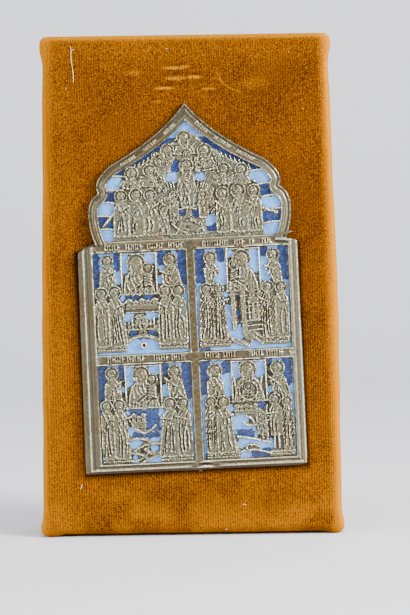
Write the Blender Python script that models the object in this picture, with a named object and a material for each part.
"""Travel icon: one cast brass leaf of a folding icon, held on a standing velvet-covered board.

Two pieces are built, each a closed solid in its own object:
  velvet_board  the upright board in its glued velvet, rolled edges and folded corners
  icon_leaf     the cast leaf: ogee crest, four panels and their raised figures, one casting

Every length below is in millimetres, and MM turns it into metres when a mesh is finished.
The board stands on the floor at Z = 0, its face looks along -Y, and X runs to the right.
Leaf shapes are drawn in the leaf's own plane: u to the right, v up from the middle of its
bottom edge, and h out of its back face.
"""

import math
from dataclasses import dataclass

import bmesh
import bpy
from mathutils import Matrix, Vector

MM = 0.001

# --- the standing board -----------------------------------------------------------------
HEIGHT = 237.0
DEPTH = 36.0
HALF_WIDTH_FOOT = 70.0  # half the width over the lower part of the board
HALF_WIDTH_TOP_LEFT = 68.0
HALF_WIDTH_TOP_RIGHT = 66.2
TAPER_FROM = 112.0  # height where the sides begin to run in
CORNER_RADIUS = 3.4
EDGE_ROLL_IN = 3.2  # rounding of the cloth over the front and back edges, across the face
EDGE_ROLL_DEPTH = 4.6  # and along the board's depth
EDGE_ROLL_STEPS = 4


@dataclass(frozen=True)
class CornerFold:
    """Cloth folded under at a corner: how far it runs along the side, and how far it stands out."""

    reach: float
    rise: float


FOOT_FOLD = CornerFold(10.5, 1.8)
HEAD_FOLD = CornerFold(13.5, 1.3)

# --- the leaf ---------------------------------------------------------------------------
SEAT = 0.3  # clearance between the leaf's back and the velvet
LEAF_TILT = math.radians(1.9)  # anticlockwise, seen from the front
LEAF_FOOT_X = 2.6  # middle of the leaf's bottom edge, on the board
LEAF_FOOT_Z = 31.8
BODY_HALF_WIDTH = 51.8
BODY_HEIGHT = 106.8
BODY_SHOULDER = 1.4  # the cut-off top corners
CREST_AXIS = 1.7  # the crest's centre line is right of the body's

# The crest's right side, from its own axis: lobe, shoulder and hollow flank, each one curve
# from a knot through a pull to the next knot.
CREST_FOOT = (43.2, 104.0)
LOBE_LOW_PULL = (48.1, 113.0)
LOBE_WIDEST = (48.1, 122.0)
LOBE_HIGH_PULL = (48.1, 129.6)
CUSP = (42.8, 132.6)
SHOULDER_PULL = (47.2, 138.0)
SHOULDER_TOP = (38.0, 146.2)
FLANK_PULL = (12.0, 161.0)
APEX = (0.0, 173.4)
RIM_AT_SIDES = 4.3  # the crest's rim, from its edge to the field
RIM_AT_APEX = 5.6
RIM_WIDENS_FROM = 140.0

GROUND = 1.9  # the field inside the panels
FLANGE = 2.5  # edge of the casting
BAND = 3.0  # flat bands between the panels
BEAD = 3.7  # crown of the edge mouldings
ROOT = 1.0  # raised work starts this deep inside the plate
SCENERY = 2.7  # crown of towers, lower than the figures

PANEL_LEFT = (-45.5, -1.5)
PANEL_RIGHT = (3.5, 46.5)
PANEL_LOWER = (5.0, 51.0)
PANEL_UPPER = (56.5, 104.0)
CREST_FIELD_FOOT = 110.0
INNER_RIDGE_OFFSET = 3.0  # second moulding of the body, from its edge

BRASS = ("patinated_brass", (0.42, 0.36, 0.24), 0.42, 1.0)
VELVET = ("amber_velvet", (0.50, 0.19, 0.012), 0.92, 0.0)


@dataclass(frozen=True)
class Figure:
    """One raised figure: feet, head centre and halo in the leaf's plane."""

    x: float
    foot: float
    head: float
    halo: float
    facing: int = 1
    girth: float = 3.0  # half width of the robe at its hem
    reach: float = 0.0  # how far the hands reach out to the side it faces
    lift: float = 3.1  # height of the robe's crown


@dataclass(frozen=True)
class HungIcon:
    """The framed image at the top of a panel: a half-length figure with a child."""

    left: float
    right: float
    foot: float
    head_x: float
    head: float
    halo: float
    child_x: float
    child: float
    child_halo: float


@dataclass(frozen=True)
class Tower:
    """A narrow building with a pitched roof."""

    x: float
    foot: float
    width: float
    height: float


@dataclass(frozen=True)
class Town:
    """A wall with a row of towers."""

    left: float
    right: float
    foot: float
    height: float
    towers: int


@dataclass(frozen=True)
class Hill:
    """A rolling ridge of ground, its rise and how many half waves it makes."""

    left: float
    right: float
    level: float
    rise: float
    waves: float
    steps: int = 6


CREST_FIGURES = (
    Figure(0.9, 148.5, 156.4, 3.0, girth=4.6),
    Figure(1.0, 124.0, 143.5, 2.8, girth=3.0, lift=3.3),
    Figure(-6.8, 144.0, 151.0, 2.6),
    Figure(-12.3, 143.0, 148.6, 2.2, girth=2.4),
    Figure(-16.0, 134.0, 142.2, 2.9),
    Figure(-24.4, 134.0, 141.3, 3.1, girth=3.4),
    Figure(9.8, 142.0, 150.2, 3.1, -1, girth=3.8),
    Figure(18.6, 134.0, 142.0, 2.9, -1),
    Figure(27.0, 134.0, 141.4, 2.9, -1, girth=3.3),
    Figure(-30.2, 111.6, 131.0, 2.8),
    Figure(-23.4, 111.6, 131.2, 2.9),
    Figure(-16.6, 111.6, 130.8, 2.8),
    Figure(17.6, 111.6, 130.8, 2.8, -1),
    Figure(25.0, 111.6, 131.2, 3.0, -1),
    Figure(32.0, 111.6, 131.0, 2.8, -1),
    Figure(-10.4, 112.0, 123.6, 1.8, girth=2.1),
    Figure(-6.8, 119.5, 130.8, 1.7, girth=1.8),
    Figure(8.6, 119.5, 131.0, 1.7, -1, girth=1.8),
    Figure(-2.6, 111.6, 117.6, 1.6, girth=2.2),
    Figure(4.4, 111.6, 117.0, 1.6, -1, girth=2.4),
)

UPPER_LEFT_FIGURES = (
    Figure(-38.5, 86.5, 98.0, 3.1, girth=3.6, reach=3.6),
    Figure(-8.4, 86.5, 98.0, 3.3, -1, girth=3.6, reach=4.0),
    Figure(-42.1, 60.0, 83.7, 2.8, girth=2.8),
    Figure(-35.8, 60.0, 83.7, 2.9, reach=3.8),
    Figure(-11.5, 60.6, 83.7, 2.9, -1, reach=3.2),
    Figure(-5.0, 60.6, 83.7, 2.8, -1, girth=2.8),
)
UPPER_RIGHT_FIGURES = (
    Figure(10.3, 86.5, 98.0, 3.0, girth=3.2, reach=3.4),
    Figure(40.4, 86.5, 98.4, 2.8, -1, girth=3.2, reach=3.4),
    Figure(8.0, 61.0, 83.5, 2.7, girth=2.8),
    Figure(13.9, 61.0, 83.5, 2.7),
    Figure(19.6, 67.0, 78.6, 1.5, girth=1.7),
    Figure(37.0, 61.2, 83.9, 2.9, -1, reach=3.4),
    Figure(43.2, 61.2, 83.7, 2.6, -1, girth=2.7),
)
LOWER_LEFT_FIGURES = (
    Figure(-38.4, 35.0, 46.6, 2.9, girth=3.5, reach=3.4),
    Figure(-8.9, 35.0, 46.6, 2.9, -1, girth=3.6, reach=3.8),
    Figure(-41.8, 6.6, 31.5, 2.6, girth=2.8),
    Figure(-35.4, 6.6, 31.9, 2.9, girth=3.1, reach=4.0),
    Figure(-12.0, 6.4, 31.6, 2.9, -1, girth=3.1, reach=4.0),
    Figure(-5.2, 6.8, 31.6, 2.8, -1, girth=2.9),
)
LOWER_RIGHT_FIGURES = (
    Figure(10.4, 35.0, 45.7, 3.4, girth=3.8),
    Figure(40.0, 35.0, 45.9, 3.1, -1, girth=3.8, reach=3.6),
    Figure(7.7, 6.8, 31.4, 2.4, girth=2.6),
    Figure(13.9, 6.8, 31.2, 3.0, girth=3.1),
    Figure(18.6, 7.4, 26.4, 1.5, girth=1.6),
    Figure(37.4, 14.5, 31.3, 2.3, -1, girth=2.8, reach=4.2),
    Figure(43.4, 7.4, 31.6, 1.8, -1, girth=2.5),
)
FIGURE_GROUPS = (
    CREST_FIGURES,
    UPPER_LEFT_FIGURES,
    UPPER_RIGHT_FIGURES,
    LOWER_LEFT_FIGURES,
    LOWER_RIGHT_FIGURES,
)
ARCHER = LOWER_RIGHT_FIGURES[5]
ARCHER_FEET = 7.2
HUNG_ICONS = (
    HungIcon(-31.7, -15.2, 82.9, -25.0, 98.3, 4.1, -18.9, 96.2, 2.4),
    HungIcon(17.8, 33.8, 82.9, 25.8, 98.0, 4.0, 21.3, 95.6, 2.2),
    HungIcon(-32.0, -15.4, 30.2, -25.0, 46.2, 4.0, -20.2, 43.4, 2.4),
    HungIcon(18.8, 34.0, 30.6, 25.5, 45.4, 3.9, 25.5, 36.4, 2.6),
)


TOWNS = (
    Town(-30.0, -15.8, 76.6, 5.2, 5),
    Town(-29.4, -16.6, 67.4, 4.4, 3),
    Town(27.0, 33.4, 70.0, 7.6, 3),
    Town(19.8, 27.0, 25.6, 3.4, 4),
)
TOWERS = (
    Tower(24.4, 65.6, 2.0, 16.4),
    Tower(-27.0, 21.6, 1.5, 6.2),
    Tower(-24.8, 21.3, 1.5, 5.3),
    Tower(-22.6, 21.0, 1.5, 4.4),
    Tower(-3.4, 122.0, 1.3, 16.5),
    Tower(5.4, 122.0, 1.3, 16.5),
)
HILLS = (
    Hill(-29.6, -16.2, 62.6, 1.6, 1.0),
    Hill(24.6, 33.2, 60.6, 2.0, 1.4, 4),
    *(Hill(-30.6, -17.4, level, 1.2, 2.0) for level in (19.2, 14.6, 10.0)),
    *(Hill(20.4, 34.0, level, 1.3, 1.6, 5) for level in (13.6, 9.2)),
)
EARTH = (  # left, right and level of each strip of ground that figures share
    (-45.0, -29.8, 60.0),
    (-16.0, -2.2, 60.6),
    (4.2, 19.0, 61.0),
    (33.8, 46.0, 61.2),
    (-45.0, -31.2, 6.8),
    (-15.8, -2.2, 6.8),
    (4.2, 20.0, 7.0),
    (34.6, 46.0, 7.0),
    (-34.0, -12.0, 111.8),
    (14.0, 36.0, 111.8),
)
WELL = (-22.4, 59.6, 1.3)  # a small round well in the upper left panel: middle and radius


# --- making meshes ----------------------------------------------------------------------
def material(name, colour, roughness, metallic):
    """A Principled material, made once and shared by name."""
    made = bpy.data.materials.get(name) or bpy.data.materials.new(name)
    made.use_nodes = True
    shader = made.node_tree.nodes["Principled BSDF"]
    shader.inputs["Base Color"].default_value = (*colour, 1.0)
    shader.inputs["Roughness"].default_value = roughness
    shader.inputs["Metallic"].default_value = metallic
    made.diffuse_color = (*colour, 1.0)
    return made


def add_object(name, mesh_maker, finish, helper=False):
    """A mesh object from a filled bmesh in millimetres. A helper is a cutter or a joined operand."""
    bmesh.ops.recalc_face_normals(mesh_maker, faces=mesh_maker.faces)
    bmesh.ops.scale(mesh_maker, vec=(MM, MM, MM), verts=mesh_maker.verts)
    mesh = bpy.data.meshes.new(name)
    mesh_maker.to_mesh(mesh)
    mesh_maker.free()
    mesh.materials.append(finish)
    made = bpy.data.objects.new(name, mesh)
    bpy.context.scene.collection.objects.link(made)
    if helper:
        made.hide_render = True
        made.display_type = "WIRE"
    return made


def on_leaf(u, v, h):
    """A point of the leaf's plane as the leaf object's own X, Y, Z."""
    return Vector((u, -h, v))


def loft(rings):
    """A bmesh skinned over rings of equally many points, its first and last ring filled."""
    made = bmesh.new()
    loops = [[made.verts.new(p) for p in ring] for ring in rings]
    for low, high in zip(loops, loops[1:]):
        for i, vert in enumerate(low):
            j = (i + 1) % len(low)
            made.faces.new((vert, low[j], high[j], high[i]))
    made.faces.new(list(reversed(loops[0])))
    made.faces.new(loops[-1])
    return made


def relief_prism(outline, top, inset=0.0, foot=ROOT):
    """A raised patch of the leaf: an outline carried up from inside the plate, its top drawn in."""
    centre = sum((Vector(p) for p in outline), Vector((0, 0))) / len(outline)

    def ring(height, draw):
        points = []
        for p in outline:
            arm = Vector(p) - centre
            keep = max(0.15, 1 - draw / max(arm.length, 1e-6))
            points.append(on_leaf(*(centre + arm * keep), height))
        return points

    return loft([ring(foot, 0), ring(top, inset)])


def disc_outline(x, y, radius, count):
    """Points round a circle."""
    turns = (2 * math.pi * (i + 0.5) / count for i in range(count))
    return [(x + radius * math.cos(t), y + radius * math.sin(t)) for t in turns]


def left_mitres(path):
    """For each point of an open path, the step to its left that moves both its runs by one unit."""
    points = [Vector(p) for p in path]
    runs = [(after - before).normalized() for before, after in zip(points, points[1:])]
    steps = []
    for run_in, run_out in zip([runs[0], *runs], [*runs, runs[-1]]):
        side = Vector((-run_in.y - run_out.y, run_in.x + run_out.x)).normalized()
        steps.append(side / max(0.45, side.dot(Vector((-run_in.y, run_in.x)))))
    return steps


def bead(path, half_width, crown, foot=ROOT):
    """A moulding with a narrow crown, swept along an open path with mitred corners."""
    flat = 0.35 * half_width
    profile = ((-half_width, foot), (-flat, crown), (flat, crown), (half_width, foot))
    rings = [
        [on_leaf(*(Vector(here) + step * across), h) for across, h in profile]
        for here, step in zip(path, left_mitres(path))
    ]
    return loft(rings)


def arc(centre, radius, start, end, steps):
    """Points along a circle from one angle to another."""
    turns = (start + (end - start) * i / steps for i in range(steps + 1))
    return [(centre[0] + radius * math.cos(t), centre[1] + radius * math.sin(t)) for t in turns]


def pulled_curve(start, pull, end, steps):
    """Points along a quadratic curve drawn towards one control point."""
    points = []
    for i in range(steps + 1):
        t = i / steps
        weights = ((1 - t) ** 2, 2 * t * (1 - t), t * t)
        points.append(tuple(sum(w * p[k] for w, p in zip(weights, (start, pull, end))) for k in (0, 1)))
    return points


# --- outlines ---------------------------------------------------------------------------
def crest_edge(steps=5):
    """The crest's outer edge, from its right foot over the apex to its left foot."""
    runs = (
        (CREST_FOOT, LOBE_LOW_PULL, LOBE_WIDEST),
        (LOBE_WIDEST, LOBE_HIGH_PULL, CUSP),
        (CUSP, SHOULDER_PULL, SHOULDER_TOP),
        (SHOULDER_TOP, FLANK_PULL, APEX),
    )
    side = [CREST_FOOT]
    for start, pull, end in runs:
        side += pulled_curve(start, pull, end, steps)[1:]
    right = [(CREST_AXIS + x, y) for x, y in side]
    left = [(CREST_AXIS - x, y) for x, y in reversed(side[:-1])]
    return right + left


def rim_width(v):
    """The crest's rim grows wider towards the apex."""
    share = min(1.0, max(0.0, (v - RIM_WIDENS_FROM) / (APEX[1] - RIM_WIDENS_FROM)))
    return RIM_AT_SIDES + (RIM_AT_APEX - RIM_AT_SIDES) * share


def drawn_in(path, distance):
    """An anticlockwise open path moved to its left by a distance that changes with v."""
    return [tuple(Vector(p) + step * distance(p[1])) for p, step in zip(path, left_mitres(path))]


def crest_inner_edge(share=1.0, steps=5):
    """The crest's edge drawn in by a share of its rim's width."""
    return drawn_in(crest_edge(steps), lambda v: share * rim_width(v))


def leaf_outline():
    """The whole casting's edge, anticlockwise from the bottom left corner."""
    crest = [p for p in crest_edge() if p[1] > BODY_HEIGHT + 0.5]
    shoulder_v = BODY_HEIGHT - BODY_SHOULDER
    return [
        (-BODY_HALF_WIDTH + 0.8, 0.0),
        (BODY_HALF_WIDTH - 0.8, 0.0),
        (BODY_HALF_WIDTH, 0.8),
        (BODY_HALF_WIDTH, shoulder_v),
        (BODY_HALF_WIDTH - BODY_SHOULDER, BODY_HEIGHT),
        *crest,
        (-BODY_HALF_WIDTH + BODY_SHOULDER, BODY_HEIGHT),
        (-BODY_HALF_WIDTH, shoulder_v),
        (-BODY_HALF_WIDTH, 0.8),
    ]


def crest_field():
    """The crest's sunk field inside its rim."""
    inner = [p for p in crest_inner_edge() if p[1] > CREST_FIELD_FOOT + 0.5]
    return [(inner[-1][0] + 1.0, CREST_FIELD_FOOT), (inner[0][0] - 1.0, CREST_FIELD_FOOT), *inner]


def rectangle(across, up):
    """Corner points from two ranges."""
    return [(across[0], up[0]), (across[1], up[0]), (across[1], up[1]), (across[0], up[1])]


# --- raised work ------------------------------------------------------------------------
def robe(figure):
    """A robe of two folds, wide at the hem, with shoulders that run in to the neck."""
    shoulder = figure.head - 1.35 * figure.halo
    neck = figure.head - 0.6 * figure.halo
    rows = ((figure.foot, 1.0, 0.0), (shoulder, 0.9, 0.0), (neck, 0.55, 0.3))
    columns = (-1.0, -0.52, 0.0, 0.52, 1.0)
    crowns = (GROUND + 0.25, figure.lift, figure.lift - 0.45, figure.lift, GROUND + 0.25)
    made = bmesh.new()
    folds = []
    feet = []
    for v, share, drop in rows:
        half = share * figure.girth
        folds.append([
            made.verts.new(on_leaf(figure.x + c * half, v, max(h - drop, GROUND + 0.2)))
            for c, h in zip(columns, crowns)
        ])
        feet.append([made.verts.new(on_leaf(figure.x + c * half, v, ROOT)) for c in (-1.0, 1.0)])
    for low, high in zip(folds, folds[1:]):
        for i in range(len(columns) - 1):
            made.faces.new((low[i], low[i + 1], high[i + 1], high[i]))
    for low, high, foot_low, foot_high in zip(folds, folds[1:], feet, feet[1:]):
        made.faces.new((low[0], high[0], foot_high[0], foot_low[0]))
        made.faces.new((low[-1], foot_low[-1], foot_high[-1], high[-1]))
    made.faces.new((*reversed(folds[0]), feet[0][0], feet[0][1]))
    made.faces.new((*folds[-1], feet[-1][1], feet[-1][0]))
    made.faces.new((*(pair[0] for pair in feet), *(pair[1] for pair in reversed(feet))))
    return made


def head_and_halo(x, y, halo, lift):
    """A round halo with a domed head on it."""
    plate = relief_prism(disc_outline(x, y, halo, 8), GROUND + 0.75, inset=0.35)
    head = relief_prism(disc_outline(x, y - 0.08 * halo, 0.6 * halo, 6), lift + 0.25, inset=0.26 * halo)
    return [plate, head]


def reaching_hands(figure):
    """Forearms held out at breast height."""
    breast = figure.head - 1.75 * figure.halo
    root = figure.x + figure.facing * 0.4 * figure.girth
    tip = figure.x + figure.facing * (0.75 * figure.girth + 0.72 * figure.reach)
    outline = [(root, breast - 1.1), (tip, breast + 0.3), (tip, breast + 1.5), (root, breast + 1.0)]
    return relief_prism(outline, figure.lift - 0.35, inset=0.35)


def figure_shapes(figure):
    """The solids of one figure."""
    shapes = [robe(figure), *head_and_halo(figure.x, figure.head, figure.halo, figure.lift)]
    if figure.reach:
        shapes.append(reaching_hands(figure))
    return shapes


def hung_icon_shapes(icon):
    """A framed half-length figure with a child, its frame open at the top."""
    girth = 0.43 * (icon.right - icon.left)
    mantle = Figure(icon.head_x, icon.foot, icon.head, icon.halo, girth=girth)
    shapes = [robe(mantle), *head_and_halo(icon.head_x, icon.head, icon.halo, 3.2)]
    shapes += head_and_halo(icon.child_x, icon.child, icon.child_halo, 3.3)
    head_room = icon.foot + 21.5
    bars = (
        ((icon.left - 0.4, icon.left + 0.5), (icon.foot - 0.5, head_room)),
        ((icon.right - 0.5, icon.right + 0.4), (icon.foot - 0.6, head_room + 0.1)),
        ((icon.left - 0.7, icon.right + 0.7), (icon.foot - 0.7, icon.foot + 0.3)),
    )
    shapes += [relief_prism(rectangle(*bar), 2.75, inset=0.2) for bar in bars]
    return shapes


def tower_shape(tower):
    """A small building with a pitched roof."""
    left, right = tower.x - 0.5 * tower.width, tower.x + 0.5 * tower.width
    eaves, ridge = tower.foot + 0.7 * tower.height, tower.foot + tower.height
    outline = [(left, tower.foot), (right, tower.foot), (right, eaves), (tower.x, ridge), (left, eaves)]
    return relief_prism(outline, SCENERY, inset=0.3)


def town_shapes(town):
    """A wall with a row of towers, every second one lower."""
    pitch = (town.right - town.left) / town.towers
    wall = rectangle((town.left, town.right), (town.foot - 0.6, town.foot + 0.42 * town.height))
    shapes = [relief_prism(wall, SCENERY - 0.2, inset=0.2)]
    for i in range(town.towers):
        middle = town.left + (i + 0.5) * pitch
        height = town.height * (1.0 - 0.22 * (i % 2))
        shapes.append(tower_shape(Tower(middle, town.foot - 0.3, 0.72 * pitch, height)))
    return shapes


def hill_shape(hill):
    """A rolling ridge of ground between two groups."""
    path = []
    for i in range(hill.steps + 1):
        t = i / hill.steps
        rise = hill.rise * math.sin(math.pi * hill.waves * t)
        path.append((hill.left + t * (hill.right - hill.left), hill.level + rise))
    return bead(path, 0.65, SCENERY - 0.1)


def earth_shape(left, right, level):
    """The strip of earth that the standing figures share."""
    return relief_prism(rectangle((left, right), (level - 0.9, level + 0.6)), SCENERY - 0.25, inset=0.25)


def archer_legs():
    """Two bare legs under the archer's short tunic."""
    legs = []
    for middle in (ARCHER.x - 1.1, ARCHER.x + 1.0):
        leg = rectangle((middle - 0.5, middle + 0.5), (ARCHER_FEET, ARCHER.foot + 1.0))
        legs.append(relief_prism(leg, SCENERY, inset=0.15))
    return legs


def scenery_shapes():
    """Towns, towers, hills, the earth underfoot and the well."""
    shapes = [shape for town in TOWNS for shape in town_shapes(town)]
    shapes += [tower_shape(tower) for tower in TOWERS]
    shapes += [hill_shape(hill) for hill in HILLS]
    shapes += [earth_shape(*strip) for strip in EARTH]
    shapes.append(relief_prism(disc_outline(*WELL, 8), SCENERY - 0.1, inset=0.5))
    return shapes


def edge_mouldings():
    """The body's second ridge, down both sides and along the foot, and the crest's inner bead."""
    side = BODY_HALF_WIDTH - INNER_RIDGE_OFFSET
    inner_run = [(-side, BODY_HEIGHT - 2.6), (-side, 2.4), (side, 2.4), (side, BODY_HEIGHT - 2.6)]
    field_edge = [p for p in crest_inner_edge(0.9) if p[1] > CREST_FIELD_FOOT + 0.5]
    field_edge = [
        (field_edge[0][0] - 1.0, CREST_FIELD_FOOT - 0.3),
        *field_edge,
        (field_edge[-1][0] + 1.0, CREST_FIELD_FOOT - 0.3),
    ]
    return [bead(inner_run, 1.3, BEAD - 0.1), bead(field_edge, 0.9, BEAD - 0.25)]


# --- the two pieces ---------------------------------------------------------------------
def plate_blank():
    """The casting before its panels are sunk: a plate with a beaded edge."""
    made = bmesh.new()
    face = made.faces.new([made.verts.new(on_leaf(u, v, 0.0)) for u, v in leaf_outline()])
    grown = bmesh.ops.extrude_face_region(made, geom=[face])["geom"]
    risen = [g for g in grown if isinstance(g, bmesh.types.BMVert)]
    bmesh.ops.translate(made, vec=(0, -FLANGE, 0), verts=risen)
    top = next(g for g in grown if isinstance(g, bmesh.types.BMFace))
    bmesh.ops.recalc_face_normals(made, faces=made.faces)
    for thickness, climb in ((0.35, BEAD - FLANGE), (0.45, 0.0), (0.5, BAND - BEAD)):
        bmesh.ops.inset_region(made, faces=[top], thickness=thickness, depth=climb, use_even_offset=True)
    return made


def sunk_field(outline):
    """A cutter that takes a field down to the ground level."""
    return relief_prism(outline, BEAD + 2.0, foot=GROUND)


def boolean(target, operation, name, shapes, finish):
    """An exact Boolean against a collection of hidden operands that ride on the target."""
    group = bpy.data.collections.new(name)
    bpy.context.scene.collection.children.link(group)
    for i, shape in enumerate(shapes):
        operand = add_object(f"{name}.{i:03d}", shape, finish, helper=True)
        operand.parent = target
        bpy.context.scene.collection.objects.unlink(operand)
        group.objects.link(operand)
    made = target.modifiers.new(name, "BOOLEAN")
    made.solver = "EXACT"
    made.operation = operation
    made.operand_type = "COLLECTION"
    made.collection = group


def make_leaf():
    """The cast leaf, tilted as it is fixed to the board."""
    brass = material(*BRASS)
    leaf = add_object("icon_leaf", plate_blank(), brass)
    fields = [crest_field()] + [
        rectangle(across, up) for across in (PANEL_LEFT, PANEL_RIGHT) for up in (PANEL_LOWER, PANEL_UPPER)
    ]
    boolean(leaf, "DIFFERENCE", "sunk fields", [sunk_field(outline) for outline in fields], brass)
    shapes = [shape for group in FIGURE_GROUPS for figure in group for shape in figure_shapes(figure)]
    shapes += [shape for icon in HUNG_ICONS for shape in hung_icon_shapes(icon)]
    shapes += archer_legs() + scenery_shapes() + edge_mouldings()
    boolean(leaf, "UNION", "raised work", shapes, brass)
    leaf.rotation_euler = (0.0, -LEAF_TILT, 0.0)
    leaf.location = Vector((LEAF_FOOT_X, -(0.5 * DEPTH + SEAT), LEAF_FOOT_Z)) * MM
    return leaf


def half_width(z, top):
    """Half the board's width at a height: straight below, running in above."""
    share = max(0.0, (z - TAPER_FROM) / (HEIGHT - TAPER_FROM))
    return HALF_WIDTH_FOOT + (top - HALF_WIDTH_FOOT) * share


def fold_swell(z):
    """How far the folded corners stand out of the side at a height."""
    fold, near = (FOOT_FOLD, z) if z < 0.5 * HEIGHT else (HEAD_FOLD, HEIGHT - z)
    share = min(1.0, max(0.0, 2.2 * (1 - near / fold.reach)))
    return fold.rise * share * share * (3 - 2 * share)


def board_outline():
    """The board's front outline, anticlockwise from the bottom right corner."""
    foot_steps = [CORNER_RADIUS + (FOOT_FOLD.reach - CORNER_RADIUS) * i / 5 for i in range(1, 6)]
    head_steps = [HEIGHT - CORNER_RADIUS - (HEAD_FOLD.reach - CORNER_RADIUS) * i / 5 for i in range(5, 0, -1)]
    heights = foot_steps + [0.25 * HEIGHT, TAPER_FROM, 0.75 * HEIGHT] + head_steps
    sides = []
    for sign, top in ((1, HALF_WIDTH_TOP_RIGHT), (-1, HALF_WIDTH_TOP_LEFT)):
        foot_x = half_width(0, top) + FOOT_FOLD.rise - CORNER_RADIUS
        head_x = half_width(HEIGHT, top) + HEAD_FOLD.rise - CORNER_RADIUS
        run = arc((foot_x, CORNER_RADIUS), CORNER_RADIUS, -0.5 * math.pi, 0, 4)
        run += [(half_width(z, top) + fold_swell(z), z) for z in heights]
        run += arc((head_x, HEIGHT - CORNER_RADIUS), CORNER_RADIUS, 0, 0.5 * math.pi, 4)
        sides.append([(sign * x, z) for x, z in run])
    return sides[0] + list(reversed(sides[1]))


def board_ring(outline, y, inset):
    """The outline at a depth, drawn in all round by an inset."""
    across = 1 - inset / HALF_WIDTH_FOOT
    up = 1 - inset / (0.5 * HEIGHT)
    middle = 0.5 * HEIGHT
    return [Vector((x * across, y, middle + (z - middle) * up)) for x, z in outline]


def make_board():
    """The velvet-covered board: its outline carried through its depth, with rolled edges."""
    outline = board_outline()
    turns = [0.5 * math.pi * i / EDGE_ROLL_STEPS for i in range(EDGE_ROLL_STEPS + 1)]
    roll = [(EDGE_ROLL_DEPTH * (1 - math.sin(t)), EDGE_ROLL_IN * (1 - math.cos(t))) for t in turns]
    rings = [board_ring(outline, -0.5 * DEPTH + deep, inset) for deep, inset in reversed(roll)]
    rings += [board_ring(outline, 0.5 * DEPTH - deep, inset) for deep, inset in roll]
    board = add_object("velvet_board", loft(rings), material(*VELVET))
    board.data.shade_smooth()
    board.data.set_sharp_from_angle(angle=math.radians(40))
    return board


def clear_scene():
    """Removes whatever the scene holds."""
    for old in list(bpy.data.objects):
        bpy.data.objects.remove(old, do_unlink=True)


def main():
    """Builds the two pieces under one empty."""
    clear_scene()
    standing = bpy.data.objects.new("standing icon", None)
    bpy.context.scene.collection.objects.link(standing)
    for piece in (make_board(), make_leaf()):
        piece.parent = standing
        piece.matrix_parent_inverse = Matrix.Identity(4)


main()
